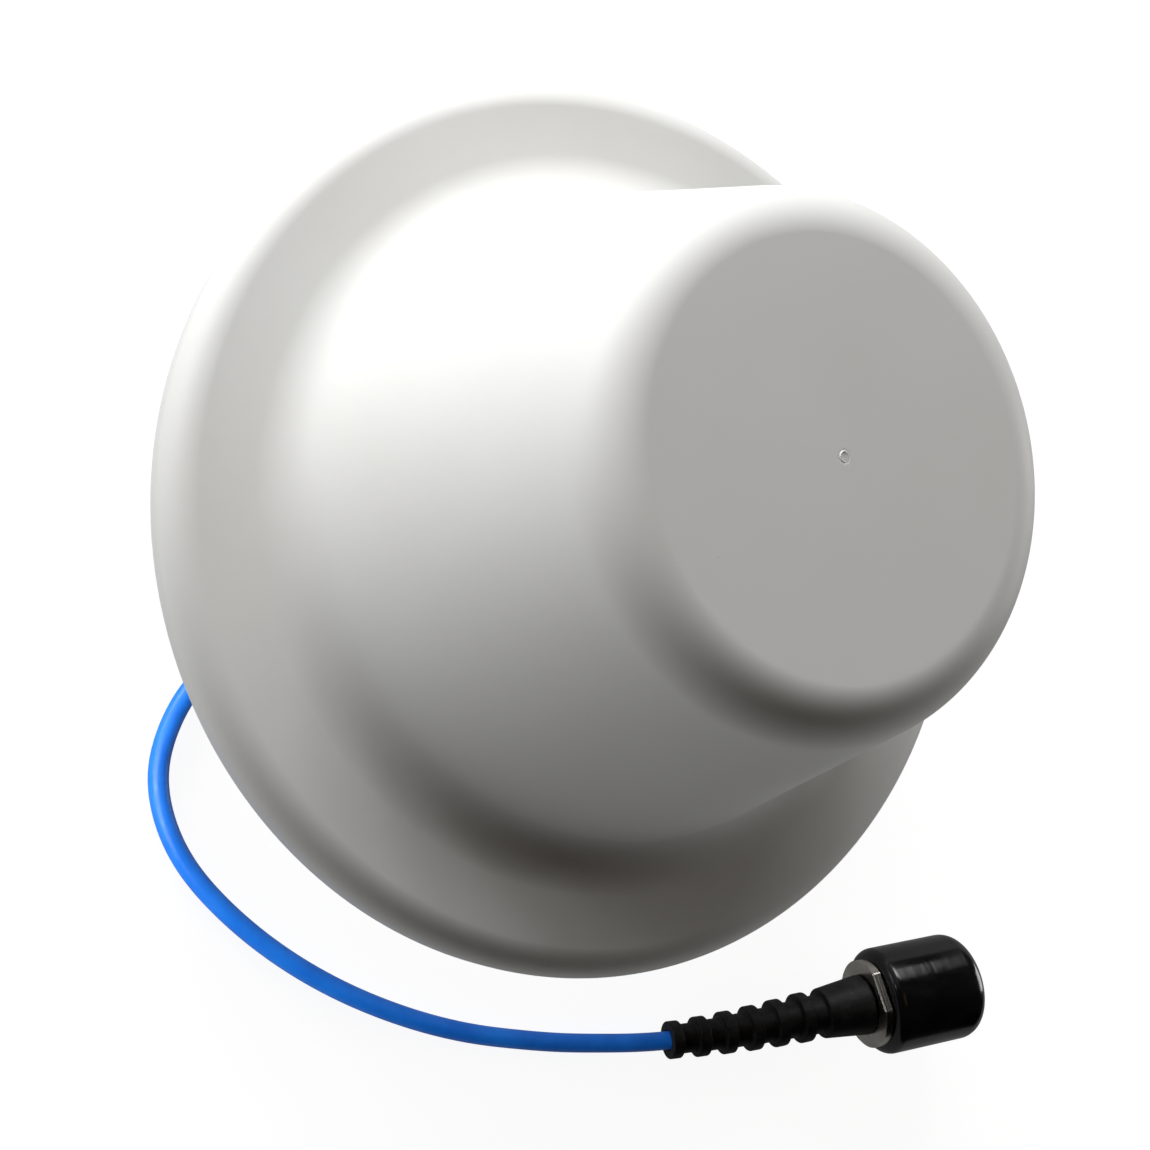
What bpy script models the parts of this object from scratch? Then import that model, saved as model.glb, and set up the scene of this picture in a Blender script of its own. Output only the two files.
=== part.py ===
"""Indoor ceiling-mount dome antenna with a coax pigtail, in metres, +Z up.

The antenna stands on the end of its hollow mounting stem with the radome upwards, so that the stem's
end is z = 0 and the radome's axis is the Z axis. The pigtail leaves the stem through a slot and lies
on the ground around the flange.
"""

import math

import bmesh
import bpy
import numpy as np
from mathutils import Vector

MM = 0.001
GAP = 0.3 * MM

# Radome: a wide round flange, a concave fillet, a truncated cone and a rounded flat front.
FLANGE_R = 93.5 * MM
FLANGE_Z = 28.0 * MM
FLANGE_T = 10.0 * MM
RIM_ROUND = 6.5 * MM
RADOME_H = 85.0 * MM
FRONT_R = 48.8 * MM
FRONT_ROUND = 11.0 * MM
CONE_HALF_ANGLE = math.radians(16.2)
FILLET_R = 12.0 * MM
WALL = 2.5 * MM
SKIRT_WALL = 3.0 * MM
RIB_INNER_R = 81.0 * MM
RIB_OUTER_R = 87.0 * MM
RADOME_SEGMENTS = 64

# Ground plate and its screws.
PLATE_R = 90.0 * MM
PLATE_T = 1.6 * MM
PLATE_Z = FLANGE_Z + 3.0 * MM
PLATE_TOP = PLATE_Z + PLATE_T
BASE_SCREWS = 6
BASE_SCREW_CIRCLE_R = 84.0 * MM
SCREW_R = 1.5 * MM
SCREW_HOLE_R = 1.9 * MM
SCREW_HEAD_R = 2.8 * MM
SCREW_HEAD_T = 1.6 * MM

# Mounting stem, its collar and screws, washer and nut.
STEM_R = 16.0 * MM
STEM_BORE_R = 13.0 * MM
COLLAR_R = 26.0 * MM
COLLAR_T = 2.5 * MM
SLOT_WIDTH = 6.6 * MM
SLOT_HEIGHT = 7.5 * MM
STEM_SCREWS = 4
STEM_SCREW_CIRCLE_R = 21.0 * MM
WASHER_R = 23.0 * MM
WASHER_T = 1.6 * MM
WASHER_TOP = FLANGE_Z - GAP
NUT_ACROSS_FLATS = 42.0 * MM
NUT_T = 6.0 * MM
RUNNING_R = STEM_R + 0.4 * MM

# Feed and radiator, on the axis above the ground plate.
FERRULE_BORE_R = 2.45 * MM
FERRULE_R = 3.1 * MM
FERRULE_FLANGE_R = 5.0 * MM
CONE_FOOT_Z = 38.5 * MM
CONE_TOP_Z = 84.0 * MM
CONE_FOOT_R = 3.0 * MM
CONE_TOP_R = 33.0 * MM
DISC_R = 40.0 * MM
DISC_Z = 88.0 * MM
DISC_T = 1.2 * MM
POSTS = 3
POST_R = 1.6 * MM
POST_CIRCLE_R = 36.8 * MM

# Coax lead and the connector on its far end. The connector is turned along its own axis, from the
# boot's small end. It rests on the boot's first ring and on the near edge of the dust cap, and the
# boot's small end gives way sideways with the lead.
LEAD_R = 2.05 * MM
LEAD_SPACING = 8.0 * MM
BOOT_START = Vector((118.3, 3.6, 0.0)) * MM
BOOT_HEADING = math.radians(83.7)
BOOT_BEND = 1.35 * MM
BOOT_BEND_LENGTH = 30.0 * MM
BOOT_INSET = 0.55 * MM
BOOT_RINGS = 6
BOOT_PITCH = 6.55 * MM
BOOT_RING_WIDTH = 2.7 * MM
BOOT_FIRST_R = 4.15 * MM
BOOT_LAST_R = 5.65 * MM
BOOT_NECK_SHARE = 0.785
BOOT_COLLAR_R = 5.75 * MM
BOOT_END_R = 7.0 * MM
BOOT_LENGTH = 51.2 * MM
BOOT_BORE_R = 2.6 * MM
CRIMP_START = 42.5 * MM
CRIMP_END = 48.3 * MM
CRIMP_R = 4.2 * MM
FLANGE_START = 51.5 * MM
FLANGE_END = 53.7 * MM
JACK_FLANGE_R = 10.2 * MM
WRENCH_FLATS = 2
WRENCH_HALF = 9.1 * MM
WRENCH_PHASE = math.radians(-25.0)
BARREL_R = 9.0 * MM
BARREL_BORE_R = 7.0 * MM
BARREL_FLOOR = 57.2 * MM
BARREL_END = 72.2 * MM
CAP_START = 53.9 * MM
CAP_END = 79.3 * MM
CAP_R = 12.4 * MM
CAP_CHAMFER = 2.5 * MM
CAP_ROUND = 4.5 * MM
REST_LIFT = 0.05 * MM
BOOT_TILT = math.atan((CAP_R - BOOT_FIRST_R) / (CAP_START + CAP_CHAMFER))
BOOT_AXIS_Z = BOOT_FIRST_R * math.cos(BOOT_TILT) + REST_LIFT
BOOT_AXIS = Vector((
    math.cos(BOOT_HEADING) * math.cos(BOOT_TILT),
    math.sin(BOOT_HEADING) * math.cos(BOOT_TILT),
    math.sin(BOOT_TILT),
))
BOOT_SIDE = Vector((-math.sin(BOOT_HEADING), math.cos(BOOT_HEADING), 0.0))
BOOT_ORIGIN = BOOT_START + Vector((0.0, 0.0, BOOT_AXIS_Z))

# The lead's route in millimetres: down the stem's axis, round and out through the slot, along the
# ground and around the flange to the boot.
ROUTE_TO_BOOT = [
    (0.0, 0.0, 33.8), (0.0, 0.0, 28.0), (0.0, 0.0, 22.2), (0.0, -1.5, 14.5),
    (0.0, -5.9, 8.1), (0.0, -12.3, 3.8), (0.0, -20.0, 2.3), (1.0, -35.0, 2.3),
    (3.5, -52.0, 2.3), (8.6, -71.0, 2.3), (15.9, -84.4, 2.3), (22.9, -90.5, 2.3),
    (30.0, -93.9, 2.3), (39.1, -94.8, 2.3), (49.1, -92.7, 2.3), (58.6, -88.0, 2.3),
    (68.1, -81.4, 2.3), (76.0, -74.5, 2.3), (83.2, -66.9, 2.3), (89.8, -58.6, 2.3),
    (95.8, -49.7, 2.3), (101.1, -40.2, 2.3), (105.6, -30.3, 2.3), (109.3, -21.2, 2.35),
    (112.5, -12.0, 2.6), (115.0, -4.0, 3.2),
]
ROUTE_IN_BOOT = [0.0, 10.0, 20.0, 30.0, 48.0]


def clear_scene():
    for obj in list(bpy.data.objects):
        bpy.data.objects.remove(obj, do_unlink=True)


def material(name, color, roughness, metallic=0.0):
    made = bpy.data.materials.new(name)
    made.use_nodes = True
    shader = made.node_tree.nodes["Principled BSDF"]
    shader.inputs["Base Color"].default_value = (*color, 1.0)
    shader.inputs["Roughness"].default_value = roughness
    shader.inputs["Metallic"].default_value = metallic
    return made


def arc(center_r, center_z, radius, start, end, steps):
    """Points on an arc in the profile plane, angles in degrees from the outward radius."""
    angles = np.radians(np.linspace(start, end, steps + 1))
    return [(center_r + radius * math.cos(a), center_z + radius * math.sin(a)) for a in angles]


def flat_reach(half, flats, angle):
    """Distance from the axis to the nearest of some evenly spaced flats, the first facing angle 0."""
    sector = 2 * math.pi / flats
    return half / math.cos((angle + sector / 2) % sector - sector / 2)


def turned(name, outline, finish, segments=32, flats=6, phase=0.0):
    """A solid of revolution about local Z from a closed outline of (radius, height) points.

    A point with a third value is cut back to flats at that distance from the axis.
    """
    mesh = bmesh.new()
    rings = []
    for radius, height, *half in outline:
        if radius == 0.0:
            rings.append([mesh.verts.new((0.0, 0.0, height))] * segments)
            continue
        ring = []
        for step in range(segments):
            angle = 2 * math.pi * step / segments
            reach = min([radius, *(flat_reach(cut_to, flats, angle) for cut_to in half)])
            turn = angle + phase
            ring.append(mesh.verts.new((reach * math.cos(turn), reach * math.sin(turn), height)))
        rings.append(ring)
    for lower, upper in zip(rings, rings[1:] + rings[:1]):
        for step in range(segments):
            after = (step + 1) % segments
            corners = [lower[step], lower[after], upper[after], upper[step]]
            distinct = list(dict.fromkeys(corners))
            if len(distinct) > 2:
                mesh.faces.new(distinct)
    bmesh.ops.recalc_face_normals(mesh, faces=mesh.faces)
    return placed(name, mesh, finish)


def placed(name, mesh, finish):
    data = bpy.data.meshes.new(name)
    mesh.to_mesh(data)
    mesh.free()
    data.shade_smooth()
    data.set_sharp_from_angle(angle=math.radians(35))
    data.materials.append(finish)
    obj = bpy.data.objects.new(name, data)
    bpy.context.collection.objects.link(obj)
    return obj


def cut(target, cutter):
    """Removes the cutter from the target and keeps the cutter as a hidden helper."""
    modifier = target.modifiers.new(cutter.name, "BOOLEAN")
    modifier.operation = "DIFFERENCE"
    modifier.solver = "EXACT"
    modifier.object = cutter
    cutter.hide_render = True
    cutter.display_type = "WIRE"


def around(count, circle_r, phase=0.0):
    """Points spaced evenly on a circle about the Z axis."""
    angles = [phase + 2 * math.pi * step / count for step in range(count)]
    return [Vector((circle_r * math.cos(a), circle_r * math.sin(a), 0.0)) for a in angles]


def hole_cutter(name, points, radius, bottom, top):
    mesh = bmesh.new()
    for point in points:
        made = bmesh.ops.create_cone(
            mesh, cap_ends=True, segments=16, radius1=radius, radius2=radius, depth=top - bottom)
        bmesh.ops.translate(mesh, verts=made["verts"], vec=point + Vector((0, 0, (bottom + top) / 2)))
    return placed(name, mesh, helper)


def box_cutter(name, low, high):
    mesh = bmesh.new()
    made = bmesh.ops.create_cube(mesh, size=1.0)
    size = Vector(high) - Vector(low)
    bmesh.ops.scale(mesh, verts=made["verts"], vec=size)
    bmesh.ops.translate(mesh, verts=made["verts"], vec=(Vector(low) + Vector(high)) / 2)
    return placed(name, mesh, helper)


def cone_line_r(height, inset=0.0):
    """Radius of the radome's conical wall at this height, inset square to the wall."""
    front_center_z = FLANGE_Z + RADOME_H - FRONT_ROUND
    at_angle_r = FRONT_R - FRONT_ROUND + FRONT_ROUND * math.cos(CONE_HALF_ANGLE)
    at_angle_z = front_center_z + FRONT_ROUND * math.sin(CONE_HALF_ANGLE)
    slope = math.tan(CONE_HALF_ANGLE)
    return at_angle_r + (at_angle_z - height) * slope - inset / math.cos(CONE_HALF_ANGLE)


def fillet_center():
    """Centre of the concave fillet between the flange's front face and the cone."""
    height = FLANGE_Z + FLANGE_T + FILLET_R
    return cone_line_r(height, -FILLET_R), height


def radome_outline():
    lean = math.degrees(CONE_HALF_ANGLE)
    top_z = FLANGE_Z + RADOME_H
    face_z = FLANGE_Z + FLANGE_T
    front = (FRONT_R - FRONT_ROUND, top_z - FRONT_ROUND)
    fillet = fillet_center()
    outer = [(FLANGE_R, FLANGE_Z)]
    outer += arc(FLANGE_R - RIM_ROUND, face_z - RIM_ROUND, RIM_ROUND, 0, 90, 5)
    outer += arc(*fillet, FILLET_R, 270, 180 + lean, 5)
    outer += arc(*front, FRONT_ROUND, lean, 90, 5)
    outer += [(0.0, top_z)]
    inner = [(0.0, top_z - WALL)]
    inner += arc(*front, FRONT_ROUND - WALL, 90, lean, 4)
    inner += arc(*fillet, FILLET_R + WALL, 180 + lean, 270, 4)
    inner += [(RIB_INNER_R, face_z - WALL), (RIB_INNER_R, PLATE_TOP + GAP)]
    inner += [(RIB_OUTER_R, PLATE_TOP + GAP), (RIB_OUTER_R, face_z - WALL)]
    inner += [(FLANGE_R - SKIRT_WALL, PLATE_TOP + 3 * GAP), (FLANGE_R - SKIRT_WALL, FLANGE_Z)]
    return outer + inner


def make_radome():
    shell = turned("radome", radome_outline(), white_plastic, RADOME_SEGMENTS)
    holes = hole_cutter("radome_pilot_holes", around(BASE_SCREWS, BASE_SCREW_CIRCLE_R), SCREW_HOLE_R,
                        FLANGE_Z - GAP, PLATE_TOP + 2.8 * MM)
    cut(shell, holes)


def make_base_plate():
    feed_r = FERRULE_R + GAP
    outline = [(feed_r, PLATE_Z), (PLATE_R, PLATE_Z), (PLATE_R, PLATE_TOP), (feed_r, PLATE_TOP)]
    plate = turned("base_plate", outline, aluminium, 64)
    points = around(BASE_SCREWS, BASE_SCREW_CIRCLE_R)
    points += around(STEM_SCREWS, STEM_SCREW_CIRCLE_R, math.pi / 4)
    holes = hole_cutter("base_plate_holes", points, SCREW_HOLE_R, PLATE_Z - MM, PLATE_TOP + MM)
    cut(plate, holes)


def make_screw(name, place, head_z, shank_length, upward):
    """A pan-head screw: its head's seat is at head_z, and upward says which way the shank points."""
    way = 1.0 if upward else -1.0
    chamfer = 0.4 * MM
    outline = [
        (0.0, -SCREW_HEAD_T), (SCREW_HEAD_R - chamfer, -SCREW_HEAD_T),
        (SCREW_HEAD_R, chamfer - SCREW_HEAD_T), (SCREW_HEAD_R, 0.0),
        (SCREW_R, 0.0), (SCREW_R, shank_length - SCREW_R / 2), (SCREW_R / 2, shank_length),
        (0.0, shank_length),
    ]
    outline = [(radius, way * height) for radius, height in outline]
    screw = turned(name, outline, steel, 16)
    screw.location = place + Vector((0.0, 0.0, head_z))


def make_screws():
    for number, place in enumerate(around(BASE_SCREWS, BASE_SCREW_CIRCLE_R), 1):
        make_screw(f"base_screw_{number}", place, PLATE_Z - GAP, 4.2 * MM, True)
    for number, place in enumerate(around(STEM_SCREWS, STEM_SCREW_CIRCLE_R, math.pi / 4), 1):
        make_screw(f"stem_screw_{number}", place, PLATE_TOP + GAP, 3.6 * MM, False)


def make_stem():
    collar_top = PLATE_Z - GAP
    collar_z = collar_top - COLLAR_T
    chamfer = 1.0 * MM
    outline = [
        (STEM_BORE_R, 0.0), (STEM_R - chamfer, 0.0), (STEM_R, chamfer), (STEM_R, collar_z),
        (COLLAR_R, collar_z), (COLLAR_R, collar_top), (STEM_BORE_R, collar_top),
    ]
    stem = turned("mounting_stem", outline, stem_plastic, 48)
    slot = box_cutter("stem_cable_slot", (-SLOT_WIDTH / 2, -STEM_R - MM, -MM),
                      (SLOT_WIDTH / 2, -STEM_BORE_R / 2, SLOT_HEIGHT))
    cut(stem, slot)
    points = around(STEM_SCREWS, STEM_SCREW_CIRCLE_R, math.pi / 4)
    holes = hole_cutter("stem_pilot_holes", points, SCREW_HOLE_R, collar_z + 0.7 * MM, collar_top + MM)
    cut(stem, holes)


def make_washer():
    outline = [(RUNNING_R, -WASHER_T), (WASHER_R, -WASHER_T), (WASHER_R, 0.0), (RUNNING_R, 0.0)]
    washer = turned("mounting_washer", outline, steel, 48)
    washer.location.z = WASHER_TOP


def make_nut():
    half = NUT_ACROSS_FLATS / 2
    corner = half / math.cos(math.pi / 6)
    chamfer = 0.8 * MM
    outline = [
        (RUNNING_R, -NUT_T), (corner - chamfer, -NUT_T, half - chamfer),
        (corner, chamfer - NUT_T, half), (corner, -chamfer, half),
        (corner - chamfer, 0.0, half - chamfer), (RUNNING_R, 0.0),
    ]
    nut = turned("mounting_nut", outline, stem_plastic, 48, phase=math.pi / 6)
    nut.location.z = WASHER_TOP - WASHER_T - GAP


def make_feed():
    seat = PLATE_TOP + GAP
    flange_top = seat + 1.3 * MM
    turned("feed_ferrule", [
        (FERRULE_BORE_R, seat - 5.3 * MM), (FERRULE_R, seat - 5.3 * MM), (FERRULE_R, seat),
        (FERRULE_FLANGE_R, seat), (FERRULE_FLANGE_R, flange_top), (FERRULE_BORE_R, flange_top),
    ], brass, 24)
    turned("cone_insulator", [
        (5.5 * MM, seat), (12.0 * MM, seat), (12.0 * MM, 43.0 * MM), (6.8 * MM, 43.0 * MM),
        (5.5 * MM, 41.0 * MM),
    ], ptfe, 24)
    turned("feed_pin", [
        (0.0, flange_top + GAP), (0.7 * MM, flange_top + GAP), (0.7 * MM, 41.5 * MM), (0.0, 41.5 * MM),
    ], brass, 16)


def make_radiator():
    thick = 1.0 * MM
    web_z = CONE_FOOT_Z + 2.5 * MM
    turned("radiator_cone", [
        (1.1 * MM, CONE_FOOT_Z), (CONE_FOOT_R, CONE_FOOT_Z), (CONE_TOP_R, CONE_TOP_Z),
        (CONE_TOP_R - thick, CONE_TOP_Z), (CONE_FOOT_R, web_z), (1.1 * MM, web_z),
    ], brass, 40)
    turned("top_disc", [
        (6.0 * MM, DISC_Z), (DISC_R, DISC_Z), (DISC_R, DISC_Z + DISC_T), (6.0 * MM, DISC_Z + DISC_T),
    ], aluminium, 40)
    for number, place in enumerate(around(POSTS, POST_CIRCLE_R, math.pi / 2), 1):
        bottom = PLATE_TOP + GAP
        top = DISC_Z - GAP
        post = turned(f"shorting_post_{number}", [
            (0.0, bottom), (POST_R, bottom), (POST_R, top), (0.0, top),
        ], brass, 16)
        post.location = place


def natural_spline(knots, points):
    """Second derivatives of the natural cubic spline through points at these knots."""
    count = len(knots)
    steps = np.diff(knots)
    matrix = np.eye(count)
    right = np.zeros_like(points)
    for i in range(1, count - 1):
        matrix[i, i - 1:i + 2] = steps[i - 1], 2 * (steps[i - 1] + steps[i]), steps[i]
        right[i] = 6 * (np.diff(points[i:i + 2], axis=0)[0] / steps[i]
                        - np.diff(points[i - 1:i + 1], axis=0)[0] / steps[i - 1])
    return np.linalg.solve(matrix, right)


def smooth_route(points, spacing):
    """Points about this far apart on the smooth curve through the route's points."""
    points = np.array(points)
    knots = np.concatenate([[0.0], np.cumsum(np.linalg.norm(np.diff(points, axis=0), axis=1))])
    bends = natural_spline(knots, points)
    made = []
    for at in np.linspace(0.0, knots[-1], round(knots[-1] / spacing) + 1):
        i = min(int(np.searchsorted(knots, at, side="right")) - 1, len(knots) - 2)
        step = knots[i + 1] - knots[i]
        before = (knots[i + 1] - at) / step
        after = 1.0 - before
        made.append(before * points[i] + after * points[i + 1] + step ** 2 / 6 * (
            (before ** 3 - before) * bends[i] + (after ** 3 - after) * bends[i + 1]))
    return made


def boot_offset(along):
    """Sideways offset of the boot's axis at this distance from its small end, and its slope."""
    share = max(1.0 - along / BOOT_BEND_LENGTH, 0.0)
    return BOOT_BEND * share ** 2, -2.0 * BOOT_BEND / BOOT_BEND_LENGTH * share


def lead_route():
    route = [Vector(point) * MM for point in ROUTE_TO_BOOT]
    for along in ROUTE_IN_BOOT:
        offset = boot_offset(along * MM)[0]
        route.append(BOOT_ORIGIN + BOOT_AXIS * (along * MM) + BOOT_SIDE * offset)
    return smooth_route(route, LEAD_SPACING)


def make_lead():
    points = lead_route()
    curve = bpy.data.curves.new("coax_lead", "CURVE")
    curve.dimensions = "3D"
    curve.bevel_depth = LEAD_R
    curve.bevel_resolution = 2
    curve.use_fill_caps = True
    curve.materials.append(blue_jacket)
    spline = curve.splines.new("POLY")
    spline.points.add(len(points) - 1)
    for target, point in zip(spline.points, points):
        target.co = (*point, 1.0)
    bpy.context.collection.objects.link(bpy.data.objects.new("coax_lead", curve))


def boot_outline():
    outer = []
    for ring in range(BOOT_RINGS):
        radius = BOOT_FIRST_R + (BOOT_LAST_R - BOOT_FIRST_R) * ring / (BOOT_RINGS - 1)
        start = BOOT_INSET + ring * BOOT_PITCH
        end = start + BOOT_RING_WIDTH
        neck = radius * BOOT_NECK_SHARE
        outer += [(radius, start), (radius, end), (neck, end), (neck, start + BOOT_PITCH)]
    outer += [(BOOT_COLLAR_R, BOOT_INSET + BOOT_RINGS * BOOT_PITCH), (BOOT_END_R, BOOT_LENGTH)]
    wide = CRIMP_R + GAP
    bore_end = CRIMP_START - GAP
    return outer + [(wide, BOOT_LENGTH), (wide, bore_end), (BOOT_BORE_R, bore_end), (BOOT_BORE_R, BOOT_INSET)]


def bent_boot():
    """The boot, its small end bent towards local -Y."""
    boot = turned("strain_relief_boot", boot_outline(), black_rubber, 24)
    for vertex in boot.data.vertices:
        offset, slope = boot_offset(vertex.co.z)
        vertex.co.z += vertex.co.y * slope
        vertex.co.y -= offset
    return boot


def jack_outline():
    rear = CRIMP_END + GAP
    throat = 2.2 * MM
    return [
        (0.0, rear), (CRIMP_R, rear), (CRIMP_R, FLANGE_START),
        (JACK_FLANGE_R, FLANGE_START, WRENCH_HALF), (JACK_FLANGE_R, FLANGE_END, WRENCH_HALF),
        (BARREL_R, FLANGE_END), (BARREL_R, BARREL_END), (BARREL_BORE_R, BARREL_END),
        (BARREL_BORE_R, BARREL_FLOOR), (throat, BARREL_FLOOR), (throat, FLANGE_END), (0.0, FLANGE_END),
    ]


def cap_outline():
    mouth = BARREL_R + 0.4 * MM
    hollow = mouth + 1.0 * MM
    lip_end = CAP_START + 4.0 * MM
    roof = BARREL_END + 2.5 * MM
    start = CAP_START + CAP_CHAMFER
    outer = arc(CAP_R - CAP_CHAMFER, start, CAP_CHAMFER, 270, 360, 3)
    outer += arc(CAP_R - CAP_ROUND, CAP_END - CAP_ROUND, CAP_ROUND, 0, 90, 4)
    inner = [(0.0, CAP_END), (0.0, roof), (hollow, roof), (hollow, lip_end), (mouth, lip_end),
             (mouth, CAP_START)]
    return outer + inner


def make_connector():
    """The boot, jack and cap along the lead's last stretch, under one empty on the jack's axis."""
    holder = bpy.data.objects.new("lead_end", None)
    bpy.context.collection.objects.link(holder)
    holder.location = BOOT_ORIGIN
    holder.rotation_mode = "QUATERNION"
    holder.rotation_quaternion = BOOT_AXIS.to_track_quat("Z", "X")
    insulator_z = BARREL_FLOOR + GAP
    insulator_top = insulator_z + 5.0 * MM
    gasket_z = insulator_top + GAP
    contact_z = FLANGE_END + 0.5 * MM
    contact_top = contact_z + 11.0 * MM
    socket_z = contact_top - 5.0 * MM
    pieces = [
        bent_boot(),
        turned("crimp_sleeve", [
            (FERRULE_BORE_R, CRIMP_START), (CRIMP_R, CRIMP_START), (CRIMP_R, CRIMP_END),
            (FERRULE_BORE_R, CRIMP_END),
        ], nickel, 20),
        turned("jack_body", jack_outline(), nickel, 72, WRENCH_FLATS, WRENCH_PHASE),
        turned("jack_insulator", [
            (1.95 * MM, insulator_z), (6.7 * MM, insulator_z), (6.7 * MM, insulator_top),
            (1.95 * MM, insulator_top),
        ], ptfe, 20),
        turned("jack_contact", [
            (0.0, contact_z), (1.6 * MM, contact_z), (1.6 * MM, contact_top), (0.8 * MM, contact_top),
            (0.8 * MM, socket_z), (0.0, socket_z),
        ], brass, 16),
        turned("jack_gasket", [
            (5.0 * MM, gasket_z), (6.7 * MM, gasket_z), (6.7 * MM, gasket_z + 1.2 * MM),
            (5.0 * MM, gasket_z + 1.2 * MM),
        ], black_rubber, 20),
        turned("dust_cap", cap_outline(), cap_vinyl, 36),
    ]
    for piece in pieces:
        piece.parent = holder


clear_scene()
helper = material("helper", (0.5, 0.5, 0.5), 0.5)
white_plastic = material("white_plastic", (0.80, 0.80, 0.78), 0.55)
stem_plastic = material("stem_plastic", (0.78, 0.78, 0.76), 0.50)
aluminium = material("aluminium", (0.72, 0.73, 0.74), 0.35, 1.0)
steel = material("steel", (0.62, 0.62, 0.61), 0.30, 1.0)
brass = material("brass", (0.78, 0.60, 0.30), 0.30, 1.0)
nickel = material("nickel", (0.70, 0.68, 0.64), 0.22, 1.0)
ptfe = material("ptfe", (0.90, 0.90, 0.88), 0.45)
blue_jacket = material("blue_jacket", (0.010, 0.175, 0.800), 0.40)
black_rubber = material("black_rubber", (0.012, 0.012, 0.013), 0.60)
cap_vinyl = material("cap_vinyl", (0.008, 0.008, 0.009), 0.28)
make_radome()
make_base_plate()
make_screws()
make_stem()
make_washer()
make_nut()
make_feed()
make_radiator()
make_lead()
make_connector()
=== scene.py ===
"""Looks of an indoor ceiling dome antenna: white radome, blue coax lead, black boot and dust cap.

The antenna stands on its hollow mounting stem with the radome up. Lengths are in metres.
"""
import math

import bmesh
import bpy
import numpy as np
from mathutils import Matrix, Vector


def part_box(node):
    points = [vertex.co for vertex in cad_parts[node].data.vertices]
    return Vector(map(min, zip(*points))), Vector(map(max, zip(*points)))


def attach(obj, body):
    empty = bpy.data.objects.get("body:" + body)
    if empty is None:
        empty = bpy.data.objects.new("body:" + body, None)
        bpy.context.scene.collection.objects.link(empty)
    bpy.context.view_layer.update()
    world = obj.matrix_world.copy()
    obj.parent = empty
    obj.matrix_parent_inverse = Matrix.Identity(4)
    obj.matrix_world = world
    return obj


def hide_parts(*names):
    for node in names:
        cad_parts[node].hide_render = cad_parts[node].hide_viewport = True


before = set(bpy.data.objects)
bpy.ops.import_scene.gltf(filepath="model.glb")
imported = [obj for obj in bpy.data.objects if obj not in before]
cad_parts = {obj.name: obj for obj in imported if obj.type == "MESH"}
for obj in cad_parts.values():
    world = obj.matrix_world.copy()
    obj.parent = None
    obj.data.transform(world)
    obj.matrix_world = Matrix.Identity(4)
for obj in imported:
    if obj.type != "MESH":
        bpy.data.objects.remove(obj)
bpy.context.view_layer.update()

MM = 0.001

# Camera: above the flange on the -Y side, rolled so that the radome's axis runs to the right.
CAMERA_AT = Vector((9.7, -169.9, 318.3)) * MM
CAMERA_ELEVATION = 60.7
CAMERA_ROLL = 77.8
CAMERA_LENS = 49.67

# Radome.
RIM_ROUND = 6.5 * MM
FLANGE_T = 10.0 * MM
FRONT_R = 48.8 * MM
FRONT_ROUND = 11.0 * MM
CONE_HALF_ANGLE = math.radians(16.2)
FILLET_R = 12.0 * MM
WALL = 2.5 * MM
SKIRT_WALL = 3.0 * MM
RIB_INNER_R = 81.0 * MM
RIB_OUTER_R = 87.0 * MM
GATE_GROOVE_R = 1.5 * MM
GATE_GROOVE_DEPTH = 0.07 * MM
GATE_SCAR_R = 1.0 * MM
GATE_SCAR_RISE = 0.13 * MM
GATE_HIGH_SIDE = Vector((-0.75, -0.66))

# Ground plate and screws.
FEED_HOLE_R = 3.4 * MM
SCREW_HOLE_R = 1.9 * MM
SCREW_HEAD_T = 1.6 * MM
SCREW_SHANK_R = 1.5 * MM
RECESS_REACH = 1.6 * MM
RECESS_HALF_WIDTH = 0.32 * MM
RECESS_DEPTH = 0.95 * MM

# Stem, its thread and slot, and the washer and nut that share a bore.
THREAD_PITCH = 2.0 * MM
THREAD_DEPTH = 0.9 * MM
THREAD_FLAT_SHARE = 0.22
STEM_R = 16.0 * MM
STEM_BORE_R = 13.0 * MM
STEM_COLLAR_T = 2.5 * MM
SLOT_HALF_WIDTH = 3.3 * MM
SLOT_TOP = 7.5 * MM
NUT_BORE_R = 16.4 * MM
NUT_PHASE = math.pi / 6

# Lead and connector. The connector's pieces are turned along its own axis from the boot's small end,
# which is bent sideways with the lead.
LEAD_R = 2.05 * MM
LEAD_SPACING = 1.5 * MM
BOOT_START = Vector((118.3, 3.6, 0.0)) * MM
BOOT_HEADING = math.radians(83.7)
BOOT_BEND = 1.35 * MM
BOOT_BEND_LENGTH = 30.0 * MM
BOOT_INSET = 0.55 * MM
BOOT_RINGS = 6
BOOT_PITCH = 6.55 * MM
BOOT_RING_WIDTH = 2.7 * MM
BOOT_FIRST_R = 4.15 * MM
BOOT_LAST_R = 5.65 * MM
BOOT_NECK_SHARE = 0.785
BOOT_SOFTNESS = 0.36 * MM
BOOT_COLLAR_R = 5.75 * MM
BOOT_END_R = 7.0 * MM
BOOT_LENGTH = 51.2 * MM
CRIMP_R = 4.2 * MM
CRIMP_START = 42.2 * MM
JACK_REAR = 48.6 * MM
FLANGE_START = 51.5 * MM
FLANGE_END = 53.7 * MM
FLANGE_R = 10.2 * MM
WRENCH_FLATS = 2
WRENCH_HALF = 9.1 * MM
WRENCH_PHASE = math.radians(-25.0)
BARREL_R = 9.0 * MM
BARREL_BORE_R = 7.0 * MM
BARREL_FLOOR = 57.2 * MM
BARREL_END = 72.2 * MM
BARREL_THREAD_DEPTH = 0.55 * MM
BARREL_THREAD_TURNS = 14
CAP_START = 53.9 * MM
CAP_END = 79.3 * MM
CAP_R = 12.4 * MM
CAP_LIP_ROUND = 2.5 * MM
CAP_ROUND = 4.5 * MM
BOOT_TILT = math.atan((CAP_R - BOOT_FIRST_R) / (CAP_START + CAP_LIP_ROUND))
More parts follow.
